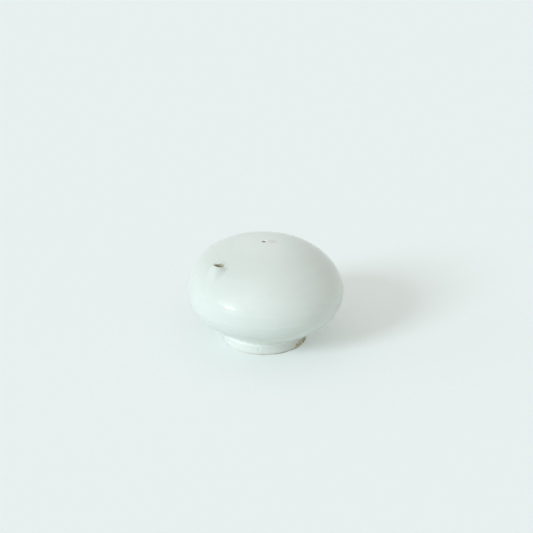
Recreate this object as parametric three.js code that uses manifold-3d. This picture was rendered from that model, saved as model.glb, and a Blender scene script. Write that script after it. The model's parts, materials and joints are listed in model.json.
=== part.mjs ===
// A small globular water dropper in white porcelain, of the kind that stands beside an ink stone.
// The body is two thrown halves luted at the belt, on a trimmed foot ring, under one coat of glaze.
// Millimetres, Z up. The origin is on the body's axis, on the plane that the foot stands on.
// The spout faces -Y.
import * as THREE from "three";
import { mergeVertices } from "three/addons/utils/BufferGeometryUtils.js";
import Module from "manifold-3d";

// Outer form, measured over the glaze
const BODY_DIAMETER = 80;
const BELT_HEIGHT = 26.6;
const DOME_RISE = 26.7;
const CROWN_FLAT_LENGTH = 20.7; // how far the crown's curve runs out level before it turns down
const DOME_SIDE_LENGTH = 17.5; // how far the curve runs straight up from the belt
const BOWL_SIDE_LENGTH = 9.5; // how far it runs straight down from the belt
const BOWL_HAUNCH_LENGTH = 15.2; // how far it keeps its slope as it leaves the foot
const BOWL_SLOPE = 32.7; // degrees above level, where the bowl leaves the foot

// Hand-made irregularity: the thrown shoulder leans a little to one side
const SHOULDER_LEAN = 2.1;
const SHOULDER_RISE = 18.7; // above the belt, where the lean is greatest
const SHOULDER_DIRECTION = 197; // degrees round from +X

// Clay and glaze
const DOME_WALL = 3.5;
const BOWL_WALL = 4;
const FLOOR_THICKNESS = 4.5;
const GLAZE_THICKNESS = 0.4;
const LUTING_GAP = 0.3; // clearance between any two pieces that the kiln fuses

// Seam at the belt
const SEAM_SLIP_THICKNESS = 1.2;
const SEAM_BEAD_HEIGHT = 3.2;
const SEAM_BEAD_DEPTH = 1.2;

// Foot
const FOOT_DIAMETER = 43.2;
const FOOT_HEIGHT = 5.3;
const FOOT_WALL = 4.2;
const FOOT_OFFSET = 1.3; // the ring was set this far off the body's axis, towards the spout
const FOOT_EDGE_CHAMFER = 0.5;
const FOOT_SLIP_THICKNESS = 0.5;
const WELL_DEPTH = 4.6;
const BARE_RIM_HEIGHT = 0.9; // the glaze is wiped off the foot below this

// Spout
const SPOUT_INSET = 12.2; // from the body's widest line in to the spout's axis, where it meets the dome
const SPOUT_BORE = 4.9;
const SPOUT_LIP_TILT = 10; // degrees that the lip faces back towards the crown
const SPOUT_LIP_RISE = 0.9; // from the dome up to the lip, on the spout's axis
const SPOUT_LIP_WALL = 1;
const SPOUT_LIP_ROUNDING = 0.8;
const SPOUT_MOUND_DIAMETER = 13;
const SPOUT_MOUND_DROP = 10; // its edge lies this far below the dome at the spout's axis
const SPOUT_SKIRT_WIDTH = 1.2; // how far the mound's skirt runs in before it turns up to the lip
const SPOUT_SLIP_THICKNESS = 0.5;

// Air hole
const AIR_HOLE_DIAMETER = 2.4;

// Kiln grit fused to the foot
const GRIT_START = 13; // degrees round from +X
const GRIT_END = 46;
const GRIT_GRAIN_RADIUS = 1;
const GRIT_SIZE_VARIATION = 0.2; // as a share of the grain's radius
const GRIT_HEIGHT = 2.9;
const GRIT_SPACING = 1.3;
const GRIT_COLUMN_PHASE = 2.4; // radians, how grain sizes change from one column to the next
const GRIT_ROW_PHASE = 1.7; // radians, how they change from one row to the next

// Fineness of the facets
const BODY_SIDES = 56;
const SPOUT_SIDES = 24;
const HOLE_SIDES = 16;
const CURVE_STEPS = 9;
const FLANK_STEPS = 6;
const WELD_DISTANCE = 1e-4; // corners nearer than this are one corner

// Depths below the glazed surface at which each layer lies
const CLAY_DEPTH = GLAZE_THICKNESS + LUTING_GAP;
const DOME_INNER_DEPTH = CLAY_DEPTH + DOME_WALL;
const BOWL_INNER_DEPTH = CLAY_DEPTH + BOWL_WALL;
const FOOT_SLIP_TOP_DEPTH = CLAY_DEPTH - LUTING_GAP;
const FOOT_SLIP_UNDERSIDE_DEPTH = FOOT_SLIP_TOP_DEPTH - FOOT_SLIP_THICKNESS;
const FOOT_SEAT_DEPTH = FOOT_SLIP_UNDERSIDE_DEPTH - LUTING_GAP;

// Radii and heights that follow from the sizes above
const BODY_RADIUS = BODY_DIAMETER / 2;
const CROWN_HEIGHT = BELT_HEIGHT + DOME_RISE;
const FOOT_RADIUS = FOOT_DIAMETER / 2;
const WELL_RADIUS = FOOT_RADIUS - FOOT_WALL;
const FOOT_CLAY_RADIUS = FOOT_RADIUS - CLAY_DEPTH;
const FOOT_BLANK_TOP = FOOT_HEIGHT + FOOT_WALL; // runs into the bowl all round
const SPOUT_REACH = BODY_RADIUS - SPOUT_INSET;
const SPOUT_CUT_LENGTH = 2 * (DOME_WALL + SPOUT_MOUND_DROP + CLAY_DEPTH); // passes the wall

const manifold = await Module();
manifold.setup();

const point = (radius, height) => new THREE.Vector2(radius, height);

// Solids

// A closed three.js geometry as a solid that can be cut and joined.
function toSolid(geometry) {
  const plain = new THREE.BufferGeometry();
  plain.setAttribute("position", geometry.getAttribute("position"));
  plain.setIndex(geometry.index);
  const merged = mergeVertices(plain, WELD_DISTANCE);
  const mesh = new manifold.Mesh({
    numProp: 3,
    vertProperties: merged.getAttribute("position").array,
    triVerts: new Uint32Array(merged.index.array),
  });
  return new manifold.Manifold(mesh);
}

// A solid as a three.js geometry.
function toGeometry(solid) {
  const mesh = solid.getMesh();
  const geometry = new THREE.BufferGeometry();
  geometry.setAttribute("position", new THREE.BufferAttribute(mesh.vertProperties, 3));
  geometry.setIndex(new THREE.BufferAttribute(mesh.triVerts, 1));
  return geometry;
}

// A solid of revolution about Z. The profile goes round its section with the material on its left.
function turned(profile, sides) {
  const geometry = new THREE.LatheGeometry(profile, sides);
  geometry.rotateX(Math.PI / 2);
  return geometry;
}

// A solid cylinder about Z between two heights.
function cylinder(radius, bottom, top, sides) {
  const profile = [point(0, bottom), point(radius, bottom), point(radius, top), point(0, top)];
  return turned(profile, sides);
}

// Body outlines

const bowlCurve = bowlOutline();
const domeCurve = domeOutline();

// The bowl from the foot up to the belt.
function bowlOutline() {
  const slope = THREE.MathUtils.degToRad(BOWL_SLOPE);
  const start = point(FOOT_RADIUS, FOOT_HEIGHT);
  const alongSlope = point(Math.cos(slope), Math.sin(slope)).multiplyScalar(BOWL_HAUNCH_LENGTH);
  const belt = point(BODY_RADIUS, BELT_HEIGHT);
  const underBelt = point(BODY_RADIUS, BELT_HEIGHT - BOWL_SIDE_LENGTH);
  return new THREE.CubicBezierCurve(start, start.clone().add(alongSlope), underBelt, belt);
}

// The dome from the belt up to the crown.
function domeOutline() {
  const belt = point(BODY_RADIUS, BELT_HEIGHT);
  const overBelt = point(BODY_RADIUS, BELT_HEIGHT + DOME_SIDE_LENGTH);
  const beforeCrown = point(CROWN_FLAT_LENGTH, CROWN_HEIGHT);
  return new THREE.CubicBezierCurve(belt, overBelt, beforeCrown, point(0, CROWN_HEIGHT));
}

// Points along a rising curve, moved inward by a depth.
function sunkPoints(curve, depth, steps = CURVE_STEPS) {
  const points = [];
  for (let step = 0; step <= steps; step++) {
    const share = step / steps;
    const tangent = curve.getTangent(share);
    const inward = point(-tangent.y, tangent.x);
    points.push(curve.getPoint(share).addScaledVector(inward, depth));
  }
  return points;
}

// The part of a rising line of points between two heights, with new points where it is cut.
function between(points, low, high) {
  const kept = [];
  for (let i = 0; i < points.length; i++) {
    const here = points[i];
    const before = points[i - 1];
    if (before) {
      for (const height of [low, high]) {
        if (before.y < height && here.y > height) {
          kept.push(before.clone().lerp(here, (height - before.y) / (here.y - before.y)));
        }
      }
    }
    if (here.y >= low && here.y <= high) kept.push(here.clone());
  }
  return kept;
}

// The bowl's side at a depth, carried on down its own slope to inside the foot.
function bowlSide(depth) {
  const points = sunkPoints(bowlCurve, depth);
  const insideFoot = points[0].clone().addScaledVector(bowlCurve.getTangent(0), -FOOT_RADIUS);
  return [insideFoot, ...points];
}

// The dome's side at a depth, ending on the axis.
function domeSide(depth) {
  const points = sunkPoints(domeCurve, depth);
  points.at(-1).x = 0;
  return points;
}

// The whole body as one filled solid, with its surface and its underside at a depth below the glaze.
function filledBody(depth) {
  const floor = WELL_DEPTH + depth;
  const bowl = between(bowlSide(depth), floor, BELT_HEIGHT);
  const dome = domeSide(depth).slice(1);
  return toSolid(turned([point(0, floor), ...bowl, ...dome], BODY_SIDES));
}

// Spout placing: its bore runs upright, and its origin lies on the glazed dome.

// The height of the glazed dome at a distance from the body's axis.
function domeHeightAt(radius) {
  const points = domeSide(0);
  const i = points.findIndex((p) => p.x <= radius);
  const share = (points[i - 1].x - radius) / (points[i - 1].x - points[i].x);
  return THREE.MathUtils.lerp(points[i - 1].y, points[i].y, share);
}

function atSpout(geometry) {
  return toSolid(geometry.translate(0, -SPOUT_REACH, domeHeightAt(SPOUT_REACH)));
}

// The mound round the mouth as a filled solid, sunk by a depth below its glazed surface.
// Its skirt runs in along the dome, turns up and rolls over into the lip.
function filledMound(depth) {
  const lipRadius = SPOUT_BORE / 2 + SPOUT_LIP_WALL + CLAY_DEPTH;
  const crest = point(lipRadius - SPOUT_LIP_ROUNDING, SPOUT_LIP_RISE);
  const shoulder = point(lipRadius + SPOUT_LIP_ROUNDING, SPOUT_LIP_RISE);
  const edge = point(SPOUT_MOUND_DIAMETER / 2, -SPOUT_MOUND_DROP);
  const skirt = point(edge.x - SPOUT_SKIRT_WIDTH, edge.y + SPOUT_LIP_ROUNDING);
  const flank = sunkPoints(new THREE.CubicBezierCurve(edge, skirt, shoulder, crest), depth, FLANK_STEPS);
  const profile = [point(0, flank[0].y), ...flank, point(0, flank.at(-1).y)];
  const tilt = THREE.MathUtils.degToRad(-SPOUT_LIP_TILT);
  return atSpout(turned(profile, SPOUT_SIDES).rotateX(tilt));
}

// A cylinder along the spout's axis that passes right through the wall and the lip.
function throughSpout(radius) {
  return atSpout(cylinder(radius, -SPOUT_CUT_LENGTH, SPOUT_CUT_LENGTH, SPOUT_SIDES));
}

const SHANK_RADIUS = SPOUT_BORE / 2 + SPOUT_LIP_WALL;
const SLIP_SLEEVE_RADIUS = SHANK_RADIUS + LUTING_GAP + SPOUT_SLIP_THICKNESS;

const airHole = toSolid(
  cylinder(AIR_HOLE_DIAMETER / 2, BELT_HEIGHT, CROWN_HEIGHT + DOME_WALL, HOLE_SIDES),
);

// A solid cylinder on the foot's own axis, which stands a little off the body's.
function onFootAxis(geometry) {
  return toSolid(geometry.translate(0, -FOOT_OFFSET, 0));
}

// Pieces

function lowerBowl() {
  const rim = BELT_HEIGHT - SEAM_SLIP_THICKNESS / 2 - LUTING_GAP;
  const underside = WELL_DEPTH + CLAY_DEPTH;
  const floor = underside + FLOOR_THICKNESS;
  const outside = between(bowlSide(CLAY_DEPTH), underside, rim);
  const inside = between(bowlSide(BOWL_INNER_DEPTH), floor, rim).reverse();
  return toSolid(
    turned([point(0, underside), ...outside, ...inside, point(0, floor)], BODY_SIDES),
  );
}

function upperDome() {
  const rim = BELT_HEIGHT + SEAM_SLIP_THICKNESS / 2 + LUTING_GAP;
  const outside = between(domeSide(CLAY_DEPTH), rim, CROWN_HEIGHT);
  const inside = between(domeSide(DOME_INNER_DEPTH), rim, CROWN_HEIGHT).reverse();
  return toSolid(turned([...inside, ...outside], BODY_SIDES))
    .subtract(airHole)
    .subtract(throughSpout(SLIP_SLEEVE_RADIUS + LUTING_GAP));
}

// A T-shaped ring: its web lies between the two rims and its rounded bead stands inside them.
function seamSlip() {
  const outer = BODY_RADIUS - CLAY_DEPTH;
  const beadBack = BODY_RADIUS - Math.max(DOME_INNER_DEPTH, BOWL_INNER_DEPTH) - LUTING_GAP;
  const beadFront = beadBack - SEAM_BEAD_DEPTH;
  const halfWeb = SEAM_SLIP_THICKNESS / 2;
  const halfBead = SEAM_BEAD_HEIGHT / 2;
  const section = [
    point(outer, -halfWeb),
    point(outer, halfWeb),
    point(beadBack, halfWeb),
    point(beadBack, halfBead),
    point(beadFront, halfBead / 2),
    point(beadFront, -halfBead / 2),
    point(beadBack, -halfBead),
    point(beadBack, -halfWeb),
    point(outer, -halfWeb),
  ];
  const raised = section.map((p) => point(p.x, p.y + BELT_HEIGHT));
  return toSolid(turned(raised, BODY_SIDES));
}

// The foot's ring before its top is cut to the bowl.
function footBlank() {
  const section = [
    point(WELL_RADIUS + FOOT_EDGE_CHAMFER, 0),
    point(FOOT_CLAY_RADIUS - FOOT_EDGE_CHAMFER, 0),
    point(FOOT_CLAY_RADIUS, FOOT_EDGE_CHAMFER),
    point(FOOT_CLAY_RADIUS, FOOT_BLANK_TOP),
    point(WELL_RADIUS, FOOT_BLANK_TOP),
    point(WELL_RADIUS, FOOT_EDGE_CHAMFER),
    point(WELL_RADIUS + FOOT_EDGE_CHAMFER, 0),
  ];
  return onFootAxis(turned(section, BODY_SIDES));
}

function footRing() {
  return footBlank().subtract(filledBody(FOOT_SEAT_DEPTH));
}

// The layer of slip between the top of the foot and the bowl.
function footSlip() {
  return footBlank()
    .intersect(filledBody(FOOT_SLIP_UNDERSIDE_DEPTH))
    .subtract(filledBody(FOOT_SLIP_TOP_DEPTH));
}

// A shank set through the dome, and a mound that carries the lip on the dome's downhill side.
function pourSpout() {
  const clay = filledBody(CLAY_DEPTH).add(filledMound(CLAY_DEPTH));
  return filledMound(CLAY_DEPTH)
    .subtract(filledBody(GLAZE_THICKNESS))
    .add(throughSpout(SHANK_RADIUS).intersect(clay))
    .subtract(filledBody(DOME_INNER_DEPTH))
    .subtract(throughSpout(SPOUT_BORE / 2));
}

// The sleeve of slip between the spout's shank and the hole in the dome.
function spoutSlip() {
  return throughSpout(SLIP_SLEEVE_RADIUS)
    .subtract(throughSpout(SHANK_RADIUS + LUTING_GAP))
    .intersect(filledBody(CLAY_DEPTH))
    .subtract(filledBody(DOME_INNER_DEPTH));
}

// Everything down to a depth below the glazed surface, with the foot filled from a height up.
function filledDropper(depth, footBottom) {
  const foot = onFootAxis(cylinder(FOOT_RADIUS - depth, footBottom, FOOT_BLANK_TOP, BODY_SIDES));
  return filledBody(depth).add(foot).add(filledMound(depth));
}

// One skin over dome, spout, bowl and the outside of the foot, down to the bare rim.
function glazeCoat() {
  return filledDropper(0, BARE_RIM_HEIGHT)
    .subtract(filledDropper(GLAZE_THICKNESS, 0))
    .subtract(airHole)
    .subtract(throughSpout(SPOUT_BORE / 2));
}

// The glaze under the base: a disc with a lip that lines the well's wall.
function wellGlaze() {
  const wallRadius = WELL_RADIUS - LUTING_GAP;
  const section = [
    point(0, WELL_DEPTH),
    point(wallRadius - GLAZE_THICKNESS, WELL_DEPTH),
    point(wallRadius - GLAZE_THICKNESS, BARE_RIM_HEIGHT),
    point(wallRadius, BARE_RIM_HEIGHT),
    point(wallRadius, WELL_DEPTH + GLAZE_THICKNESS),
    point(0, WELL_DEPTH + GLAZE_THICKNESS),
  ];
  return onFootAxis(turned(section, BODY_SIDES));
}

// A crust of overlapping sand grains along the outside of the foot.
function kilnGrit() {
  const wallRadius = FOOT_RADIUS + LUTING_GAP;
  const start = THREE.MathUtils.degToRad(GRIT_START);
  const arc = THREE.MathUtils.degToRad(GRIT_END) - start;
  const columns = Math.round((arc * wallRadius) / GRIT_SPACING);
  const rows = Math.round(GRIT_HEIGHT / GRIT_SPACING);
  let crust = null;
  for (let column = 0; column <= columns; column++) {
    for (let row = 0; row < rows; row++) {
      const angle = start + (arc * column) / columns;
      const phase = GRIT_COLUMN_PHASE * column + GRIT_ROW_PHASE * row;
      const radius = GRIT_GRAIN_RADIUS * (1 + GRIT_SIZE_VARIATION * Math.sin(phase));
      const grain = new THREE.IcosahedronGeometry(radius, 0);
      grain.rotateZ(phase);
      grain.translate(
        wallRadius * Math.cos(angle),
        wallRadius * Math.sin(angle),
        GRIT_GRAIN_RADIUS + LUTING_GAP + row * GRIT_SPACING,
      );
      const solid = onFootAxis(grain);
      crust = crust ? crust.add(solid) : solid;
    }
  }
  const wall = cylinder(wallRadius, -GRIT_HEIGHT, FOOT_BLANK_TOP, BODY_SIDES);
  return crust.subtract(onFootAxis(wall));
}

// Finish

// Carries everything above the belt sideways, most at the shoulder.
function leanShoulder(geometry) {
  const direction = THREE.MathUtils.degToRad(SHOULDER_DIRECTION);
  const position = geometry.getAttribute("position");
  for (let i = 0; i < position.count; i++) {
    const rise = Math.max(0, position.getZ(i) - BELT_HEIGHT) / SHOULDER_RISE;
    const lean = SHOULDER_LEAN * Math.sin((Math.PI / 2) * rise) ** 2;
    position.setX(i, position.getX(i) + lean * Math.cos(direction));
    position.setY(i, position.getY(i) + lean * Math.sin(direction));
  }
  return geometry;
}

function finish(color, roughness) {
  return new THREE.MeshStandardMaterial({ color, roughness, metalness: 0 });
}

const firedClay = finish(0xe9e6dc, 0.85);
const lutingSlip = finish(0xe2dccb, 0.9);
const bareFootClay = finish(0xd8d0bb, 0.85);
const spoutClay = finish(0xe3dac4, 0.8);
const glaze = finish(0xdae5e1, 0.12);
const kilnSand = finish(0x8a7a55, 0.95);

const dropper = new THREE.Group();

function addPiece(name, solid, material) {
  const geometry = leanShoulder(toGeometry(solid));
  geometry.computeVertexNormals();
  const mesh = new THREE.Mesh(geometry, material);
  mesh.name = name;
  dropper.add(mesh);
}

addPiece("lower_bowl", lowerBowl(), firedClay);
addPiece("upper_dome", upperDome(), firedClay);
addPiece("seam_slip", seamSlip(), lutingSlip);
addPiece("foot_ring", footRing(), bareFootClay);
addPiece("foot_slip", footSlip(), lutingSlip);
addPiece("pour_spout", pourSpout(), spoutClay);
addPiece("spout_slip", spoutSlip(), lutingSlip);
addPiece("glaze_coat", glazeCoat(), glaze);
addPiece("well_glaze", wellGlaze(), glaze);
addPiece("kiln_grit", kilnGrit(), kilnSand);

export default dropper;
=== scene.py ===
# %% [markdown]
# # A small porcelain water dropper
# A water dropper stands beside an ink stone and gives water a few drops at a time.
# This one is a flattened globe of white porcelain on a low foot ring, with an air hole
# in the crown and a low pouring mouth on the shoulder.
# The solids of its pieces are already made. Here each visible piece gets its fine form
# and its finish, and the whole is set on a pale floor in soft light.

# %% Load the solids as a fixed frame
import json
import math

import bmesh
import bpy
import numpy as np
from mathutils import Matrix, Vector, noise

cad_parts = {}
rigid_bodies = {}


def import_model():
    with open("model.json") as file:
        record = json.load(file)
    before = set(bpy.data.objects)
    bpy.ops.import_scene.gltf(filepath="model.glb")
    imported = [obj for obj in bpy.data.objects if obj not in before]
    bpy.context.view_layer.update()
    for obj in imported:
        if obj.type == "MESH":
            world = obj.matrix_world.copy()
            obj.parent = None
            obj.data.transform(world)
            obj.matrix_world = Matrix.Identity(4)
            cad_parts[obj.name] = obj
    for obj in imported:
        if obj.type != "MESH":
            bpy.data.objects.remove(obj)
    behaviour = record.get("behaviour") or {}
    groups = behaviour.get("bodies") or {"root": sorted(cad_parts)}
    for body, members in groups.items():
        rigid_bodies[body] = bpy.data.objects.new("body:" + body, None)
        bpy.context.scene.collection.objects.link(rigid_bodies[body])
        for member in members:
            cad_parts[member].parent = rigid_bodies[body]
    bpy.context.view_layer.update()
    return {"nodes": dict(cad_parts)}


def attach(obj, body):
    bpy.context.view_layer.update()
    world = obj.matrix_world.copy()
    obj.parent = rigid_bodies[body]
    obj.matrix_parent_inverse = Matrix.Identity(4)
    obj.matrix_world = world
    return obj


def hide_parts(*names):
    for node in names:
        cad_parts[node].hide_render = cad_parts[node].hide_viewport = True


for left_over in list(bpy.data.objects):
    bpy.data.objects.remove(left_over)

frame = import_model()
print("pieces in the frame:", sorted(frame["nodes"]))

# %% [markdown]
# ## Sizes
# A potter thinks in millimetres and Blender in metres, so every form below is worked out
# in millimetres and scaled down once, when its mesh is made.
# The main sizes are those of the solids. Z is up, and the mouth faces -Y. Later cells add
# the smaller sizes of each form where it is made.

# %% Sizes in millimetres
MM = 0.001
BODY_RADIUS = 40.0
BELT_HEIGHT = 26.6
CROWN_HEIGHT = 53.3
CROWN_FLAT_LENGTH = 20.7
DOME_SIDE_LENGTH = 17.5
BOWL_SIDE_LENGTH = 9.5
BOWL_HAUNCH_LENGTH = 15.2
BOWL_SLOPE = math.radians(32.7)
SHOULDER_LEAN = 2.1
SHOULDER_RISE = 18.7
SHOULDER_DIRECTION = math.radians(197)
GLAZE_THICKNESS = 0.4
FOOT_RADIUS = 21.6
FOOT_HEIGHT = 5.3
FOOT_CENTRE = np.array([0.0, -1.3])
WELL_RADIUS = 17.4
WELL_DEPTH = 4.6
BARE_RIM_HEIGHT = 0.9
GLAZE_END_HEIGHT = 0.58
SPOUT_REACH = 27.8
SPOUT_BORE_RADIUS = 2.45
LIP_TILT = math.radians(10)
LIP_RISE = 0.9
AIR_HOLE_RADIUS = 1.2
print("body", 2 * BODY_RADIUS, "mm across and", CROWN_HEIGHT, "mm high")

# %% [markdown]
# ## Small tools for meshes
# Every round piece here is a grid of points: some columns round the axis, and some rows
# from one end of the section to the other. Closing the grid both ways gives a ring-shaped
# skin with an inside and an outside, which is what a glaze or a foot ring is.

# %% A mesh from a grid of points
def linked(thing):
    """Puts a new object into the scene."""
    bpy.context.scene.collection.objects.link(thing)
    return thing


def mesh_object(name, points, faces):
    mesh = bpy.data.meshes.new(name)
    mesh.from_pydata([tuple(p * MM) for p in points], [], faces)
    mesh.update()
    return linked(bpy.data.objects.new(name, mesh))


def grid_faces(columns, rows, closed=True):
    """Quads of a grid that closes round the axis, and round its section too if closed."""
    faces = []
    for c in range(columns):
        after = (c + 1) % columns
        for r in range(rows if closed else rows - 1):
            up = (r + 1) % rows
            faces.append((c * rows + r, after * rows + r, after * rows + up, c * rows + up))
    return faces


def ring_object(name, grid):
    """A closed piece from an array of columns by rows by three."""
    columns, rows = grid.shape[:2]
    return mesh_object(name, grid.reshape(-1, 3), grid_faces(columns, rows))


def smooth(piece, sharp_degrees=180):
    """Soft shading, with edges that turn more than an angle left crisp."""
    piece.data.polygons.foreach_set("use_smooth", [True] * len(piece.data.polygons))
    piece.data.set_sharp_from_angle(angle=math.radians(sharp_degrees))
    piece.data.update()
    print(piece.name, "has", len(piece.data.polygons), "faces")


def edited(piece, *changes):
    """Opens a piece's mesh, makes each change to it and puts it back."""
    work = bmesh.new()
    work.from_mesh(piece.data)
    for change in changes:
        change(work)
    work.to_mesh(piece.data)
    work.free()


def applied(piece):
    """Works a piece's modifier into its mesh."""
    bpy.context.view_layer.update()
    result = piece.evaluated_get(bpy.context.evaluated_depsgraph_get())
    piece.data = bpy.data.meshes.new_from_object(result)
    piece.modifiers.clear()


def without_loose_edges(work):
    """Divides faces of many corners, and drops edges that belong to no face."""
    bmesh.ops.triangulate(work, faces=[f for f in work.faces if len(f.verts) > 4])
    bmesh.ops.delete(work, geom=[e for e in work.edges if not e.link_faces], context="EDGES")
    print(sum(not e.is_manifold for e in work.edges), "open edges left")


# %% [markdown]
# ## Outline of the body
# A thrown pot is a turned form, so one outline makes it. Two smooth curves meet at the
# belt: one rises from the foot and one runs over the shoulder to the crown.
# Bezier curves suit a thrown wall, because they have no flats and no kinks. The bowl's line
# starts a little early, under the foot, because the foot stands slightly off centre.

# %% The two curves of the outline
def bezier(ends, shares):
    """Points along a cubic curve with four control points."""
    a, b, c, d = (np.array(p, float) for p in ends)
    t = np.asarray(shares, float)[..., None]
    return (1 - t) ** 3 * a + 3 * (1 - t) ** 2 * t * b + 3 * (1 - t) * t**2 * c + t**3 * d


UNDER_FOOT_LENGTH = 5
slope = np.array([math.cos(BOWL_SLOPE), math.sin(BOWL_SLOPE)])
foot_top = np.array([FOOT_RADIUS, FOOT_HEIGHT])
bowl_ends = (
    foot_top,
    foot_top + BOWL_HAUNCH_LENGTH * slope,
    (BODY_RADIUS, BELT_HEIGHT - BOWL_SIDE_LENGTH),
    (BODY_RADIUS, BELT_HEIGHT),
)
dome_ends = (
    (BODY_RADIUS, BELT_HEIGHT),
    (BODY_RADIUS, BELT_HEIGHT + DOME_SIDE_LENGTH),
    (CROWN_FLAT_LENGTH, CROWN_HEIGHT),
    (0, CROWN_HEIGHT),
)
fine_steps = np.linspace(0, 1, 1500)
under_foot = foot_top - UNDER_FOOT_LENGTH * slope
bowl_line = np.vstack([under_foot, bezier(bowl_ends, fine_steps)])
dome_line = bezier(dome_ends, fine_steps)


def run_of(line):
    """Distance along a line of points, at each point."""
    return np.concatenate([[0], np.cumsum(np.hypot(*np.diff(line, axis=0).T))])


def at_run(line, run, along):
    """The places on a line at distances along it."""
    return np.column_stack([np.interp(along, run, line[:, i]) for i in (0, 1)])


def ramp(values, start, width):
    """0 up to a start, and 1 from a width further on."""
    return np.clip((values - start) / width, 0, 1)


bowl_run = run_of(bowl_line)
dome_run = run_of(dome_line)
print("outline length:", round(bowl_run[-1] + dome_run[-1], 1), "mm")


# %% [markdown]
# ## The lean of the shoulder
# The potter's dome is not quite true: its shoulder leans about two millimetres to one
# side. Sliding each level sideways, by an amount that grows smoothly from the belt, gives
# that lean and keeps the belt and the foot where they are.

# %% Slide each level sideways
def leaned(points):
    """The same points, with the shoulder's lean."""
    rise = np.maximum(0, points[..., 2] - BELT_HEIGHT) / SHOULDER_RISE
    shift = SHOULDER_LEAN * np.sin(math.pi / 2 * rise) ** 2
    moved = points.copy()
    moved[..., 0] += shift * math.cos(SHOULDER_DIRECTION)
    moved[..., 1] += shift * math.sin(SHOULDER_DIRECTION)
    return moved


crown_centre = leaned(np.array([[0.0, 0.0, CROWN_HEIGHT]]))[0]
print("the air hole stands at", np.round(crown_centre, 2))

# %% [markdown]
# ## Where the mouth sits
# The pouring mouth has an upright bore. Downhill, its lip stands on a mound: a smooth curve
# that climbs from the dome and rolls over into the lip, which is tipped back towards the
# crown by ten degrees. Uphill, the dome is higher than the lip and takes its place.
# Together they make a nearly level mouth on a sloping shoulder. A point near it is easiest
# to think of as a distance from the lip's axis and a height along it.

# %% The lip's own axes and the mound's curve
spout_foot_height = float(np.interp(-SPOUT_REACH, -dome_line[:, 0], dome_line[:, 1]))
spout_origin = np.array([0, -SPOUT_REACH, spout_foot_height])
lip_up = np.array([0, math.sin(LIP_TILT), math.cos(LIP_TILT)])
MOUND_RADIUS = 7.0
MOUND_DROP = 10.0
MOUND_SWELL = (5.9, -7.5)
LIP_TURN, LIP_EDGE = 5.1, 3.3
OUTSIDE_FALL = 2
mound_ends = ((MOUND_RADIUS, -MOUND_DROP), MOUND_SWELL, (LIP_TURN, LIP_RISE), (LIP_EDGE, LIP_RISE))
mound_line = bezier(mound_ends, np.linspace(0, 1, 300))


def mound_height(distance):
    """Height of the mound's surface at a distance from the lip's axis."""
    inside = np.interp(-distance, -mound_line[:, 0], mound_line[:, 1])
    return inside - OUTSIDE_FALL * np.maximum(0, distance - MOUND_RADIUS)


def smooth_greater(a, b, softness):
    """The greater of two heights, with the corner where they cross rounded off."""
    share = np.clip(0.5 + 0.5 * (a - b) / softness, 0, 1)
    return b + (a - b) * share + softness * share * (1 - share)


print("the mouth stands", round(spout_foot_height + LIP_RISE, 1), "mm above the desk")

# %% Raise a skin of points over the mound
LIP_SOFTNESS, FLANK_SOFTNESS = 1.2, 4.4
FLANK_START, FLANK_WIDTH = 3.4, 2.2
ROOM_BESIDE, ROOM_BELOW = 5, 3


def mound_softness(distance):
    """The join with the dome is close at the lip and broad further out."""
    share = ramp(distance, FLANK_START, FLANK_WIDTH)
    return LIP_SOFTNESS + (FLANK_SOFTNESS - LIP_SOFTNESS) * share**2 * (3 - 2 * share)


def raised_over_mound(points):
    """Lifts the points that lie under the mound's surface up to it."""
    from_origin = points - spout_origin
    height = from_origin @ lip_up
    distance = np.linalg.norm(from_origin - height[..., None] * lip_up, axis=-1)
    raised = smooth_greater(height, mound_height(distance), mound_softness(distance))
    near = (distance < MOUND_RADIUS + ROOM_BESIDE) & (height > -MOUND_DROP - ROOM_BELOW)
    lift = np.where(near, raised - height, 0)
    return points + lift[..., None] * lip_up


# %% [markdown]
# ## Columns round the body
# The mouth is small, and the body is large. The columns are therefore drawn together on
# the side of the mouth, and the rows of the dome are drawn together at its level, so that
# the lip is finely divided without filling the rest of the skin with points.

# %% Angles of the columns
COLUMNS = 288
GATHERING = 0.74
MOUTH_ANGLE = -math.pi / 2
even = np.linspace(0, 2 * math.pi, COLUMNS, endpoint=False)
angles = even - GATHERING * np.sin(even - MOUTH_ANGLE)


def gathered_shares(count, middle, strength, width):
    """Shares from 0 to 1, closer together near a middle value."""
    grid = np.linspace(0, 1, 2000)
    density = 1 + strength * np.exp(-(((grid - middle) / width) ** 2))
    total = np.concatenate([[0], np.cumsum((density[1:] + density[:-1]) / 2)])
    return np.interp(np.linspace(0, total[-1], count), total, grid)


closest = BODY_RADIUS * (1 - GATHERING) * 2 * math.pi / COLUMNS
print(COLUMNS, "columns, the closest", round(closest, 2), "mm apart")

# %% [markdown]
# ## Foot, haunch and dome as rows
# From the bare rim the glaze climbs the foot, turns through a small hollow where it has
# pooled, and runs out along the bowl. The foot was set a little off centre, so each column
# finds for itself where its foot meets the bowl.

# %% One column of the outer surface
POOL_RADIUS = 1.1
FOOT_ROWS, POOL_ROWS, BOWL_ROWS, DOME_ROWS, EDGE_ROWS = 10, 7, 40, 112, 6
HOLE_ROUNDING = 0.4
HOLE_SHIFT = (0.4, 0.0)
EDGE_WANDER, EDGE_FLUTTER = 0.16, 0.08
MOUTH_SHARE, MOUTH_STRENGTH, MOUTH_WIDTH = 0.53, 3.0, 0.16
corner_angle = math.pi / 2 + BOWL_SLOPE
pool_setback = POOL_RADIUS / math.tan(corner_angle / 2)
dome_shares = gathered_shares(DOME_ROWS, MOUTH_SHARE, MOUTH_STRENGTH, MOUTH_WIDTH)
hole_edge = dome_run[-1] - AIR_HOLE_RADIUS - HOLE_ROUNDING


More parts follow.
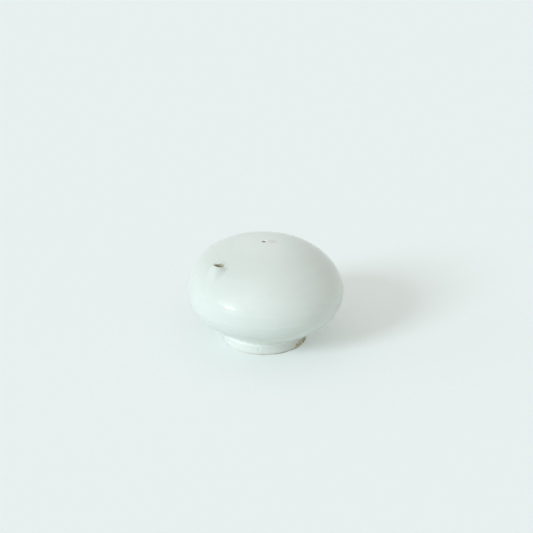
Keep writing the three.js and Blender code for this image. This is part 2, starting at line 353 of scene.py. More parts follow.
def wander(angle, ripples, level):
    """Noise that closes on itself round the pot. More ripples change it faster."""
    return noise.noise(Vector((ripples * math.cos(angle), ripples * math.sin(angle), level)))


def beside_foot(radius, angle):
    """A place on the desk at a distance from the foot's own axis."""
    return FOOT_CENTRE + radius * np.array([math.cos(angle), math.sin(angle)])


def glaze_edge_height(angle):
    """The wiped lower edge of the glaze wanders a little round the foot."""
    slow, quick = wander(angle, 2.2, 0.7), wander(angle, 9, 3.1)
    return GLAZE_END_HEIGHT + EDGE_WANDER * slow + EDGE_FLUTTER * quick


def column_rows(angle):
    """Distance from the axis and height of each row, and the column's own angle."""
    foot_point = beside_foot(FOOT_RADIUS, angle)
    reach = float(np.hypot(*foot_point))
    turn = math.atan2(foot_point[1], foot_point[0])
    start = float(np.interp(reach, bowl_line[:, 0], bowl_run))
    meeting = float(np.interp(start, bowl_run, bowl_line[:, 1]))
    foot_end = np.array([reach, meeting - pool_setback])
    foot = np.linspace([reach, glaze_edge_height(angle)], foot_end, FOOT_ROWS)
    centre = foot_end + np.array([POOL_RADIUS, 0])
    sweep = math.pi - np.linspace(0, math.pi / 2 - BOWL_SLOPE, POOL_ROWS + 1)[1:]
    pool = centre + POOL_RADIUS * np.column_stack([np.cos(sweep), np.sin(sweep)])
    along = np.linspace(start + pool_setback, bowl_run[-1], BOWL_ROWS + 2)[1:-1]
    bowl = at_run(bowl_line, bowl_run, along)
    dome = at_run(dome_line, dome_run, dome_shares * hole_edge)
    return np.vstack([foot, pool, bowl, dome]), turn


first_rows, _ = column_rows(0)
print("each column has", len(first_rows), "rows from the bare rim to the air hole")


# %% [markdown]
# ## The thrower's hand
# Fingers leave very shallow rings on a thrown wall, and drying warps it slightly.
# A few hundredths of a millimetre are enough: the gloss shows them as a soft unevenness.

# %% Shallow rings and a slow warp
RING_DEPTH, RING_SPACING = 0.030, 5.3
FINE_RING_DEPTH, FINE_RING_SPACING = 0.018, 2.9
WARP_DEPTH = 0.10
CALM_CROWN, CALM_WIDTH, CALM_FOOT = 3, 12, 3


def hand_marks(rows, angle):
    """How far each row stands out from the true outline. Crown and foot stay calm."""
    level = rows[:, 1]
    drift, fine_drift = 1.1 * np.sin(angle), 0.8 * np.cos(angle - 0.6)
    ring = RING_DEPTH * np.sin(2 * math.pi * level / RING_SPACING + drift)
    fine = FINE_RING_DEPTH * np.sin(2 * math.pi * level / FINE_RING_SPACING + fine_drift)
    warp = WARP_DEPTH * np.array([wander(angle, 1.3, 0.05 * height) for height in level])
    fade = ramp(rows[:, 0], CALM_CROWN, CALM_WIDTH) * ramp(level, FOOT_HEIGHT, CALM_FOOT)
    return (ring + fine + warp) * fade


def outer_column(angle):
    """The points of one column, from the bare rim up to the air hole."""
    rows, turn = column_rows(angle)
    along = np.gradient(rows, axis=0)
    outward = np.column_stack([along[:, 1], -along[:, 0]])
    outward /= np.linalg.norm(outward, axis=1)[:, None]
    rows = rows + outward * hand_marks(rows, turn)[:, None]
    return np.column_stack([rows[:, 0] * math.cos(turn), rows[:, 0] * math.sin(turn), rows[:, 1]])


# %% [markdown]
# ## Two marks of the making
# A finger dragged a shallow crease through the wet clay beside the mouth, and two short
# runs of glaze stand on the foot. Both are so slight that moving the skin's own points
# is enough.

# %% The crease and the runs
CREASE_START, CREASE_END = np.array([1.9, -26.6]), np.array([7.7, -25.7])
CREASE_WIDTH, CREASE_DEPTH = 0.9, 0.12
RUN_ANGLES = (math.radians(-49.1), math.radians(-42.6))
RUN_WIDTH, RUN_THICKNESS = 0.5, 0.24
RUN_END_HEIGHT, RUN_FADE = 1.2, 1.5


def creased(points):
    """A shallow groove between two places of the dome, seen from above."""
    along = CREASE_END - CREASE_START
    share = np.clip((points[..., :2] - CREASE_START) @ along / (along @ along), 0, 1)
    apart = np.linalg.norm(points[..., :2] - CREASE_START - share[..., None] * along, axis=-1)
    depth = CREASE_DEPTH * np.exp(-((apart / CREASE_WIDTH) ** 2)) * (points[..., 2] > BELT_HEIGHT)
    return points - depth[..., None] * np.array([0, 0, 1])


def with_runs(points):
    """Two thicker lines of glaze down the foot."""
    out = points[..., :2] - FOOT_CENTRE
    reach = np.linalg.norm(out, axis=-1)
    share = np.clip((FOOT_HEIGHT - points[..., 2]) / RUN_FADE, 0, 1) * (reach < FOOT_RADIUS + 1)
    share *= ramp(points[..., 2], RUN_END_HEIGHT, 1)
    thick = np.zeros_like(reach)
    for angle in RUN_ANGLES:
        aside = FOOT_RADIUS * (np.arctan2(out[..., 1], out[..., 0]) - angle)
        thick += RUN_THICKNESS * np.exp(-((aside / RUN_WIDTH) ** 2))
    moved = points.copy()
    moved[..., :2] += (thick * share / reach)[..., None] * out
    return moved


outer = raised_over_mound(np.array([outer_column(a) for a in angles]))
outer = with_runs(creased(outer))
print("outer surface of the glaze:", outer.shape[0] * outer.shape[1], "points")

# %% [markdown]
# ## From a surface to a coat
# Glaze is a layer, not a film. The inner surface is the outer one moved in along its
# normals by the glaze's thickness. At the foot the layer ends in a small round bead, and
# at the air hole it rolls over the edge.

# %% Inner surface, bead and rolled edge
def grid_normals(grid):
    """The direction straight out of the surface at each point."""
    round_axis = np.roll(grid, -1, axis=0) - np.roll(grid, 1, axis=0)
    up_section = np.gradient(grid, axis=1)
    normals = np.cross(round_axis, up_section)
    return normals / np.maximum(np.linalg.norm(normals, axis=-1, keepdims=True), 1e-9)


BEAD_DROP = 0.16
inner = outer - GLAZE_THICKNESS * grid_normals(outer)
edge_turn = np.linspace(0, math.pi / 2, EDGE_ROWS + 1)[1:]
roll_out = AIR_HOLE_RADIUS + HOLE_ROUNDING * (1 - np.sin(edge_turn))
roll_height = outer[0, -1, 2] - HOLE_ROUNDING * (1 - np.cos(edge_turn))
turns = np.arctan2(outer[:, -1, 1], outer[:, -1, 0])
uneven = 1 + 0.07 * np.sin(2 * turns + 0.7) + 0.05 * np.sin(3 * turns)
rolled = np.stack(
    [
        np.outer(np.cos(turns) * uneven, roll_out) + HOLE_SHIFT[0],
        np.outer(np.sin(turns) * uneven, roll_out) + HOLE_SHIFT[1],
        np.tile(roll_height, (COLUMNS, 1)),
    ],
    axis=-1,
)
bead = (outer[:, :1] + inner[:, :1]) / 2 - np.array([0, 0, BEAD_DROP])
coat = np.concatenate([outer, rolled, inner[:, ::-1], bead], axis=1)
glaze_coat = ring_object("glaze_skin", leaned(coat))
print("glaze section:", coat.shape[1], "rows round the layer")

# %% [markdown]
# ## Places beside the bore
# The next pieces follow the bore. A point beside it has a distance from the bore's axis,
# an angle round it, and a height that is measured from a plane with the lip's tilt.

# %% The glazed surface beside the bore
def beside_bore(distance, angle, height):
    """A place beside the bore, before the shoulder's lean."""
    x, y = distance * math.cos(angle), distance * math.sin(angle)
    return spout_origin + np.array([x, y, height - y * math.tan(LIP_TILT)])


def dome_beside_bore(distance, angle):
    """Height of the plain dome above the lip's plane."""
    x, y, plane = beside_bore(distance, angle, 0)
    radius = min(math.hypot(x, y), BODY_RADIUS)
    return float(np.interp(-radius, -dome_line[:, 0], dome_line[:, 1])) - plane


def surface_beside_bore(distance, angle):
    """Height of the glazed surface above the lip's plane, with the mound."""
    dome = dome_beside_bore(distance, angle)
    return float(smooth_greater(dome, float(mound_height(distance)), mound_softness(distance)))


def bore_radius(angle):
    """A pierced hole is never quite round. This one is a little narrower front to back."""
    uneven = 0.03 * math.sin(2 * angle + 0.4) + 0.02 * math.sin(3 * angle - 1.2)
    return SPOUT_BORE_RADIUS * (1 + uneven)


UPHILL, DOWNHILL = math.pi / 2, -math.pi / 2
edges = [round(surface_beside_bore(SPOUT_BORE_RADIUS, a), 2) for a in (UPHILL, DOWNHILL)]
print("edge of the bore above the lip's plane, uphill and downhill:", edges)

# %% [markdown]
# ## Cutting the mouth
# The mouth is pierced straight down through the wet clay and its edge is softened with a
# finger. Glaze then runs over the edge and a little way into the bore. Three simple forms
# make that: the coat, a ring of glaze that lines the bore and is joined to it, and a cutter
# shaped like a trumpet, which is taken away. Its stem makes the bore, and its flare rounds
# the edge.

# %% The lining and the trumpet cutter
CUTTER_SIDES, FLARE_ROWS = 96, 9
CUTTER_DEPTH, CUTTER_TOP, CUTTER_LIFT = 8.0, 5.0, 0.02
LINING_THICKNESS, LINING_OVERLAP, LINING_CHAMFER = 0.42, 0.2, 0.12
LINING_BOTTOM, LINING_WANDER, LINING_DRIP = 0.7, 0.45, 0.2
CRISP_ROUNDING, MORE_UPHILL = 0.4, 0.25


def edge_rounding(angle):
    """The edge is crisp downhill and softer uphill."""
    return CRISP_ROUNDING + MORE_UPHILL * (1 + math.sin(angle)) / 2


def lining_bottom(angle):
    """The glaze ran further into the bore at some places than at others."""
    slow, quick = wander(angle, 1.6, 5.0), wander(angle, 4.0, 1.0)
    return LINING_BOTTOM + LINING_WANDER * slow + LINING_DRIP * quick


def lining_section(angle):
    """The ring of glaze in the bore on one side, from its lower end up into the coat."""
    inside = bore_radius(angle) - LINING_OVERLAP
    outside = bore_radius(angle) + LINING_THICKNESS
    bottom = lining_bottom(angle)
    top = [(r, surface_beside_bore(r, angle) - GLAZE_THICKNESS / 2) for r in (outside, inside)]
    corner = [(outside - LINING_CHAMFER, bottom), (outside, bottom + LINING_CHAMFER)]
    return [(inside, bottom), *corner, *top]


def smooth_turn(start, corner, end, count):
    """Points of a curve from a start to an end, drawn towards a corner."""
    t = np.linspace(0, 1, count)[:, None]
    return (1 - t) ** 2 * start + 2 * (1 - t) * t * corner + t**2 * end


def trumpet_section(angle):
    """The stem, and a flare that runs smoothly out into the surface and on above it."""
    stem = bore_radius(angle)
    reach = stem + edge_rounding(angle)
    corner = np.array([stem, surface_beside_bore(stem, angle)])
    below = corner - [0, edge_rounding(angle)]
    rim = np.array([reach, surface_beside_bore(reach, angle) + CUTTER_LIFT])
    flare = smooth_turn(below, corner, rim, FLARE_ROWS)
    return np.vstack([[stem, -CUTTER_DEPTH], flare, [reach, CUTTER_TOP]])


def spun_beside_bore(name, section_at, closed):
    """A piece from one section on each side of the bore: a ring, or a plug with flat ends."""
    turns = [2 * math.pi * side / CUTTER_SIDES for side in range(CUTTER_SIDES)]
    grid = [[beside_bore(d, angle, h) for d, h in section_at(angle)] for angle in turns]
    grid = leaned(np.array(grid))
    if closed:
        return ring_object(name, grid)
    rows = grid.shape[1]
    starts = range(0, CUTTER_SIDES * rows, rows)
    ends = [list(reversed(starts)), [start + rows - 1 for start in starts]]
    return mesh_object(name, grid.reshape(-1, 3), grid_faces(CUTTER_SIDES, rows, False) + ends)


lining = spun_beside_bore("glaze_lining", lining_section, closed=True)
cutter = spun_beside_bore("mouth_cutter", trumpet_section, closed=False)
flares = [round(edge_rounding(angle), 2) for angle in (UPHILL, DOWNHILL)]
print("the flare opens, uphill and downhill, by", flares, "mm")


# %% Join, cut and drop the helpers
def combined(piece, tool, operation):
    """Joins a tool's form to a piece or cuts it away, and drops the tool."""
    change = piece.modifiers.new("combine", "BOOLEAN")
    change.operation = operation
    change.solver = "EXACT"
    change.object = tool
    old_mesh = piece.data
    applied(piece)
    bpy.data.meshes.remove(old_mesh)
    bpy.data.objects.remove(tool)


combined(glaze_coat, lining, "UNION")
combined(glaze_coat, cutter, "DIFFERENCE")
edited(glaze_coat, without_loose_edges)
smooth(glaze_coat, 60)
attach(glaze_coat, "root")
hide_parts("glaze_coat")

# %% [markdown]
# ## The clay of the spout
# Under the glaze the spout is a short tube of clay, set through the wall of the dome. Its
# bore carries on below the glaze lining. Downhill it also has a collar, which fills the
# mound and runs down to the dome; uphill the collar dies away.

# %% The tube and its collar
UNDER_GLAZE = GLAZE_THICKNESS + 0.08
CLAY_GAP = 0.06
SHANK_RADIUS, SHANK_INSET, SHANK_COLLAR_GAP = 3.4, 0.02, 1.2
DOME_DEPTH = 4.9
COLLAR_STEPS, COLLAR_LEAST, COLLAR_EDGE = 9, 0.15, 0.12
MOUND_MARGIN, MOUND_OVER_DOME = 0.4, 0.1


def collar_end(angle):
    """How far out the mound stands above the dome on one side of the bore."""
    for reach in np.linspace(MOUND_RADIUS - MOUND_MARGIN, SHANK_RADIUS, 60):
        if float(mound_height(reach)) > dome_beside_bore(reach, angle) + MOUND_OVER_DOME:
            return float(reach)
    return SHANK_RADIUS + COLLAR_LEAST


def spout_section(angle):
    """The closed section of the spout's clay on one side, as distances and heights."""
    bore = bore_radius(angle) + CLAY_GAP
    behind = bore_radius(angle) + LINING_THICKNESS + CLAY_GAP
    step = lining_bottom(angle) - CLAY_GAP
    low = dome_beside_bore(bore, angle) - DOME_DEPTH
    furthest = max(collar_end(angle), SHANK_RADIUS + COLLAR_LEAST)
    reaches = np.linspace(SHANK_RADIUS, furthest, COLLAR_STEPS)
    tops = [(r, surface_beside_bore(r, angle) - UNDER_GLAZE) for r in reaches]
    seats = [(r, dome_beside_bore(r, angle) - UNDER_GLAZE - COLLAR_EDGE) for r in reaches[::-1]]
    mouth = [(bore, h) for h in (low, low + 0.5, (low + step) / 2, step - 0.2, step)]
    mouth += [(behind, step + 0.1), (behind, surface_beside_bore(behind, angle) - UNDER_GLAZE)]
    shank = [(SHANK_RADIUS - SHANK_INSET, h) for h in (low + SHANK_COLLAR_GAP, low)]
    return mouth + tops + seats + shank


pour_spout = spun_beside_bore("spout_clay_body", spout_section, closed=True)
smooth(pour_spout, 40)
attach(pour_spout, "root")
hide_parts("pour_spout")

# %% [markdown]
# ## The foot ring
# The foot was trimmed with a blade while the clay was leather hard, so its section is a
# plain ring with softened edges. The lowest half millimetre or so is bare clay, which the
# glaze was wiped from so that the pot would not stick in the kiln.

# %% A turned ring about the foot's own axis
FOOT_COLUMNS = 192


def turned_ring(name, section, wobble=0.0, seed=0.0):
    """A closed ring on the foot's axis, which wanders a little from a true circle."""
    grid = []
    for side in range(FOOT_COLUMNS):
        angle = 2 * math.pi * side / FOOT_COLUMNS
        drifts = [wobble * wander(angle, 3, 0.9 * height + seed) for _, height in section]
        places = [(*beside_foot(r + drift, angle), h) for (r, h), drift in zip(section, drifts)]
        grid.append(places)
    return ring_object(name, np.array(grid))


def rounded(corner, before, after, reach, steps=4):
    """A corner point replaced by a few points of a smooth turn."""
    c, b, a = (np.array(p, float) for p in (corner, before, after))
    start = c + reach * (b - c) / np.linalg.norm(b - c)
    end = c + reach * (a - c) / np.linalg.norm(a - c)
    return [tuple(p) for p in smooth_turn(start, c, end, steps + 1)]


# %% Section of the foot ring
BARE_RADIUS = FOOT_RADIUS - 0.18
TUCKED_RADIUS = FOOT_RADIUS - GLAZE_THICKNESS - 0.08
FOOT_RING_TOP = 4.15
INNER_ROUNDING, OUTER_ROUNDING = 0.55, 0.24
section = rounded((WELL_RADIUS, 0), (WELL_RADIUS, 1), (WELL_RADIUS + 1, 0), INNER_ROUNDING)
section += [(18.6, 0), (19.4, 0), (20.3, 0)]
section += rounded((BARE_RADIUS, 0), (BARE_RADIUS - 1, 0), (BARE_RADIUS, 1), OUTER_ROUNDING)
section += [(BARE_RADIUS, 0.32), (BARE_RADIUS - 0.05, 0.38), (TUCKED_RADIUS, 0.62)]
section += [(TUCKED_RADIUS, 2.6), (TUCKED_RADIUS, FOOT_RING_TOP + 0.12)]
section += [(19.5, FOOT_RING_TOP), (WELL_RADIUS, FOOT_RING_TOP), (WELL_RADIUS, 2.4)]
foot_ring = turned_ring("bare_foot", section, wobble=0.05, seed=2.0)
smooth(foot_ring, 50)
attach(foot_ring, "root")
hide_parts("foot_ring")

# %% [markdown]
# ## The glazed well
# Inside the foot ring the base is glazed too. The blade left shallow rings there, which the
# glaze has softened, and it pooled in the corner under the wall. A turned ring leaves a
# small hole in the middle of the base, so the points round it are drawn together.

# %% Section of the glazed well
MIDDLE_HOLE, MIDDLE_REACH = 0.3, 0.4
WALL_SETBACK, CORNER_WIDTH, CORNER_ROUNDING = 0.35, 1.4, 1.1
TOUCHING, POINT_SIZE = 0.02, 0.001


def trimming_step(radius):
    """Shallow rings that the trimming blade left under the base."""
    return 0.05 * math.sin(2 * math.pi * radius / 3.4) + 0.02 * math.sin(2 * math.pi * radius / 1.3)


def with_closed_middle(work):
    """Draws the edge of the small hole together, below and above, into one point each."""
    bmesh.ops.remove_doubles(work, verts=work.verts, dist=TOUCHING * MM)
    axis = Vector(FOOT_CENTRE * MM)
    for is_below in (True, False):
        near = [v for v in work.verts if (v.co.xy - axis).length < MIDDLE_REACH * MM]
        level = [v for v in near if (v.co.z < (WELL_DEPTH + 0.1) * MM) == is_below]
        middle = sum((v.co for v in level), Vector()) / len(level)
        bmesh.ops.pointmerge(work, verts=level, merge_co=middle)
    bmesh.ops.dissolve_degenerate(work, edges=work.edges, dist=POINT_SIZE * MM)


inside_wall = WELL_RADIUS - WALL_SETBACK - GLAZE_THICKNESS
base_radii = np.linspace(MIDDLE_HOLE, inside_wall - CORNER_WIDTH, 40)
base = [(r, WELL_DEPTH - 0.12 + trimming_step(r)) for r in base_radii]
corner_ends = ((inside_wall, WELL_DEPTH), (10, WELL_DEPTH), (inside_wall, 1))
corner = rounded(*corner_ends, CORNER_ROUNDING, 8)
rim_top = BARE_RIM_HEIGHT + 0.15
glaze_top = WELL_DEPTH + GLAZE_THICKNESS
wall = [(inside_wall, h) for h in (3.0, 2.2, 1.5, rim_top)]
bead = [(inside_wall + 0.2, BARE_RIM_HEIGHT)]
behind = [(WELL_RADIUS - 0.08, h) for h in (rim_top, 2.5, glaze_top)]
above = [(r, glaze_top) for r in (12.0, 6.0, MIDDLE_HOLE)]
well_section = base + corner + wall + bead + behind + above
well_glaze = turned_ring("well_glaze_skin", well_section[::-1])
edited(well_glaze, with_closed_middle, without_loose_edges)
smooth(well_glaze, 60)
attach(well_glaze, "root")
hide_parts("well_glaze")

# %% [markdown]
# ## Kiln grit
# Sand from the kiln floor has stuck to one side of the foot and fused there. A crust of
# many small broken grains shows that best: each grain is a lumpy ball, and a voxel remesh
# melts them into one closed crust that is still rough.

# %% Scatter the grains and fuse them
GRIT_START, GRIT_END = math.radians(9), math.radians(45)
GRIT_HEIGHT, GRIT_FLOOR = 3.6, 0.25
GRIT_COUNT = 130
GRAIN_LEAST, GRAIN_SPREAD = 0.15, 0.3
GRAIN_LUMPS, GRAIN_STAND = 0.35, 0.02
MELT_SIZE = 0.09
chance = np.random.default_rng(7)


def grain_mesh(work, centre, radius, seed):
    """Adds one lumpy ball. The seed gives each grain its own lumps."""
    made = bmesh.ops.create_icosphere(work, subdivisions=2, radius=1)
    for v in made["verts"]:
        lump = 1 + GRAIN_LUMPS * noise.noise(v.co * 1.6 + Vector((seed, 0, 0)))
        v.co = Vector(centre) + v.co * lump * radius


work = bmesh.new()
for i in range(GRIT_COUNT):
    share = chance.random()
    angle = GRIT_START + share * (GRIT_END - GRIT_START)
    fullness = math.sin(math.pi * share**0.6) ** 0.7
    height = GRIT_FLOOR + (GRIT_HEIGHT - 2 * GRIT_FLOOR) * chance.random() ** 1.2 * fullness
    radius = GRAIN_LEAST + GRAIN_SPREAD * chance.random() ** 2.4
    stand_off = FOOT_RADIUS + GRAIN_STAND + 0.35 * chance.random() * radius
    place = (*beside_foot(stand_off, angle), max(height, radius + 0.05))
    grain_mesh(work, place, radius, 3.7 * i)
bmesh.ops.scale(work, vec=(MM, MM, MM), verts=work.verts)
grit_mesh = bpy.data.meshes.new("sand_crust")
work.to_mesh(grit_mesh)
work.free()
kiln_grit = linked(bpy.data.objects.new("sand_crust", grit_mesh))
melt = kiln_grit.modifiers.new("melt", "REMESH")
melt.mode = "VOXEL"
melt.voxel_size = MELT_SIZE * MM
applied(kiln_grit)
smooth(kiln_grit)
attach(kiln_grit, "root")
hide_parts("kiln_grit")

# %% [markdown]
# ## Tools for finishes
# A finish is a small tree of shader nodes. Each effect that several finishes share is a
# node group: it is built once, takes its own values in each finish, and gives back only a
# mask, a tone or a height. Positions are in millimetres, so a value such as 5 means 5 mm.
# Groups and finishes add nodes in the same ways, so those ways are written once.

# %% Short ways to add nodes
def linear(red, green, blue):
    """A colour as a screen shows it, from 0 to 255, as Blender stores it."""
    values = [c / 255 for c in (red, green, blue)]
    return [v / 12.92 if v <= 0.04045 else ((v + 0.055) / 1.055) ** 2.4 for v in values] + [1]


class Tree:
    """A tree of shader nodes. Its position is each point's place in millimetres."""

    def __init__(self, tree, position=None):
        self.tree = tree
        self.position = position

    def put(self, kind, **settings):
        """Adds a node and gives it its settings."""
        node = self.tree.nodes.new(kind)
        for label, value in settings.items():
            setattr(node, label, value)
        return node

    def wire(self, source, target):
        """Joins an output to an input, or sets the input to a plain value."""
        if isinstance(source, bpy.types.NodeSocket):
            self.tree.links.new(source, target)
        else:
            target.default_value = source

    def maths(self, operation, *values):
        """A function of one value, or a sum that takes in each further value in turn."""
        result = values[0]
        for value in values[1:] or (0.0,):
            node = self.put("ShaderNodeMath", operation=operation)
            self.wire(result, node.inputs[0])
            self.wire(value, node.inputs[1])
            result = node.outputs[0]
        return result

    def total(self, *values):
        return self.maths("ADD", *values)

    def times(self, *values):
        return self.maths("MULTIPLY", *values)

    def less(self, a, b):
        return self.maths("SUBTRACT", a, b)

    def fade(self, value, start, end):
        """0 before start and 1 after end, with a soft step between."""
        node = self.put("ShaderNodeMapRange", interpolation_type="SMOOTHSTEP")
        for source, label in ((value, "Value"), (start, "From Min"), (end, "From Max")):
            self.wire(source, node.inputs[label])
        return node.outputs["Result"]

    def clouds(self, scale, detail=2.0, offset=(0, 0, 0)):
        """Noise around a half. The scale is in changes per millimetre."""
        moved = self.put("ShaderNodeVectorMath", operation="ADD")
        self.wire(self.position, moved.inputs[0])
        moved.inputs[1].default_value = offset
        node = self.put("ShaderNodeTexNoise")
        self.wire(moved.outputs[0], node.inputs["Vector"])
        self.wire(scale, node.inputs["Scale"])
        node.inputs["Detail"].default_value = detail
        return node.outputs["Fac"]


# %% Start a node group
class Group(Tree):
    """A node group. It is given a position and its inputs: places, or numbers with a value."""

    def __init__(self, name, inputs, outputs):
        tree = bpy.data.node_groups.new(name, "ShaderNodeTree")
        for label, value in {"Position": None, **inputs}.items():
            kind = "NodeSocketVector" if value is None else "NodeSocketFloat"
            socket = tree.interface.new_socket(label, in_out="INPUT", socket_type=kind)
            if value is not None:
                socket.default_value = value
        for label in outputs:
            tree.interface.new_socket(label, in_out="OUTPUT", socket_type="NodeSocketFloat")
        self.given = tree.nodes.new("NodeGroupInput").outputs
        self.result = tree.nodes.new("NodeGroupOutput").inputs
        super().__init__(tree, self.given["Position"])
        print("group", name, "gives", ", ".join(outputs))

    def axes(self):
        """The three coordinates of the position."""
        node = self.put("ShaderNodeSeparateXYZ")
        self.wire(self.position, node.inputs[0])
        return node.outputs


# %% [markdown]
# ### Throwing rings
# Fingers and ribs leave rings that run level round the wall and close in on the crown.
# The angle from the middle of the pot gives both with one formula.

# %% Node group: throwing rings
rings = Group("throwing_rings", {"Spacing": 4.0, "Wander": 0.6}, ["Height"])
x, y, z = rings.axes()
reach = rings.maths("SQRT", rings.total(rings.maths("POWER", x, 2.0), rings.maths("POWER", y, 2.0)))
run = rings.times(rings.maths("ARCTAN2", reach, rings.less(z, BELT_HEIGHT)), BODY_RADIUS)
drift = rings.times(rings.clouds(0.05), rings.given["Wander"], 6.0)
phase = rings.maths("DIVIDE", rings.total(run, drift), rings.given["Spacing"])
wave = rings.maths("SINE", rings.times(phase, 2 * math.pi))
patchy = rings.clouds(0.07, offset=(31, 5, 9))
rings.wire(rings.times(wave, patchy), rings.result["Height"])

# %% [markdown]
# ### Grain
# Clay, slip and sand all have a grain. It shows as a slight change of tone and as a
# roughness of the surface. Two sizes of noise together look more like ground stone than
# one alone.

# %% Node group: grain
grain = Group("grain", {"Grain Size": 0.5}, ["Tone", "Height"])
per_mm = grain.maths("DIVIDE", 1.0, grain.given["Grain Size"])
coarse = grain.clouds(per_mm, detail=3.0)
fine = grain.clouds(grain.times(per_mm, 3.3), offset=(4, 17, 2))
both = grain.total(grain.times(coarse, 0.65), grain.times(fine, 0.35))
grain.wire(grain.fade(both, 0.36, 0.64), grain.result["Tone"])
grain.wire(both, grain.result["Height"])


# %% [markdown]
# ### Ragged spot
# Stains, burnt edges and worn places, and painted shade and light, are spots with a soft and uneven
# border. The group measures how far a point is from the spot's middle and lets noise push the border
# about.

# %% Node group: ragged spot
def ragged_mask(group, distance, limit, ripples, push):
    """Full up to a limit, with a soft border that noise pushes about."""
    bite = group.less(group.clouds(ripples, detail=3.0), 0.5)
    pushed = group.total(distance, group.times(bite, push, group.given["Raggedness"]))
    inside = group.less(limit, group.given["Softness"])
    outside = group.total(limit, group.given["Softness"])
    return group.less(1.0, group.fade(pushed, inside, outside))


border = {"Softness": 0.5, "Raggedness": 0.5}
spot = Group("ragged_spot", {"Middle": None, "Reach": 2.0, **border}, ["Mask"])
apart = spot.put("ShaderNodeVectorMath", operation="DISTANCE")
spot.wire(spot.position, apart.inputs[0])
spot.wire(spot.given["Middle"], apart.inputs[1])
spot_mask = ragged_mask(spot, apart.outputs["Value"], spot.given["Reach"], 0.9, 4.0)
spot.wire(spot_mask, spot.result["Mask"])

# %% [markdown]
# ### Level band
# Glaze changes with the level: it is thin at the bare rim, and painted light makes it lighter low on
# the bowl, where the floor lights it from below.
# This mask is full below a level and fades out above it, again with an uneven border.

# %% Node group: level band
band = Group("level_band", {"Level": 1.0, **border}, ["Mask"])
_, _, height = band.axes()
band.wire(ragged_mask(band, height, band.given["Level"], 0.45, 3.0), band.result["Mask"])

# %% [markdown]
# ### Pinholes and specks
# A glaze holds a few pinholes and iron specks. A cell pattern gives each cell one dot,
# and a random number per cell decides whether that dot is there at all.

# %% Node group: specks
specks = Group("specks", {"Spacing": 4.0, "Radius": 0.1, "Share": 0.3}, ["Mask"])
cells = specks.put("ShaderNodeTexVoronoi")
specks.wire(specks.position, cells.inputs["Vector"])
specks.wire(specks.maths("DIVIDE", 1.0, specks.given["Spacing"]), cells.inputs["Scale"])
gap = specks.times(cells.outputs["Distance"], specks.given["Spacing"])
radius = specks.given["Radius"]
dot = specks.less(1.0, specks.fade(gap, specks.times(radius, 0.5), radius))
lot = specks.put("ShaderNodeSeparateColor")
specks.wire(cells.outputs["Color"], lot.inputs[0])
chosen = specks.maths("LESS_THAN", lot.outputs["Red"], specks.given["Share"])
specks.wire(specks.times(dot, chosen), specks.result["Mask"])


# %% [markdown]
# ### A finish, built up in layers
# A decorator starts with a ground and lays thinner tones over it. The finishes are made the
# same way: a ground of two tones, then one line for each mark, which names where it lies,
# its tone and how strongly it shows.

# %% A finish and its layers
class Finish(Tree):
    """A material with its Principled BSDF and the colour that is laid so far."""

    def __init__(self, name):
        self.material = bpy.data.materials.new(name)
        self.material.use_nodes = True
        super().__init__(self.material.node_tree)
        self.shader = self.tree.nodes["Principled BSDF"]
        place = self.put("ShaderNodeTexCoord")
        in_mm = self.put("ShaderNodeVectorMath", operation="SCALE")
        self.wire(place.outputs["Object"], in_mm.inputs[0])
        in_mm.inputs["Scale"].default_value = 1 / MM
        self.position = in_mm.outputs[0]

    def set(self, label, value):
        """Joins one socket of the shader, or sets it to a plain value."""
        self.wire(value, self.shader.inputs[label])

    def effect(self, group, **values):
        """Places a node group with this finish's own values."""
        node = self.put("ShaderNodeGroup", node_tree=group.tree)
        self.wire(self.position, node.inputs["Position"])
        for label, value in values.items():
            node.inputs[label.replace("_", " ")].default_value = value
        return node.outputs

    def mixed(self, mask, under, over):
        """One colour over another, by a mask."""
        node = self.put("ShaderNodeMix", data_type="RGBA")
        self.wire(mask, node.inputs["Factor"])
        self.wire(under, node.inputs[6])
        self.wire(over, node.inputs[7])
        return node.outputs[2]

    def ground(self, mask, tone, other_tone):
        """Starts the colour with two tones."""
        self.colour = self.mixed(mask, linear(*tone), linear(*other_tone))

    def lay(self, mask, tone, amount=1.0):
        """Lays a tone over the colour so far, where a mask is full."""
        self.colour = self.mixed(self.times(mask, amount), self.colour, linear(*tone))

    def mark(self, group, tone, amount=1.0, **values):
        """Lays a tone by the mask of a group, and gives the mask back."""
        mask = self.effect(group, **values)["Mask"]
        self.lay(mask, tone, amount)
        return mask

    def weighed(self, base, *parts):
        """A base value, and each other value times its weight."""
        return self.total(base, *(self.times(value, weight) for value, weight in parts))

    def rough(self, base, *parts):
        """A base roughness, with masks that make it duller by their weight."""
        self.set("Roughness", self.weighed(base, *parts))

    def bump(self, *parts):
        """Turns heights in millimetres into a slight tilt of the surface."""
        node = self.put("ShaderNodeBump")
        node.inputs["Strength"].default_value = 1.0
        node.inputs["Distance"].default_value = MM
        self.wire(self.weighed(0.0, *parts), node.inputs["Height"])
        self.set("Normal", node.outputs["Normal"])


def dress(finish, *pieces):
    """Gives the shader its colour, and the pieces their finish."""
    finish.set("Base Color", finish.colour)
    for piece in pieces:
        piece.data.materials.clear()
        piece.data.materials.append(finish.material)
        print(finish.material.name, "on", piece.name)
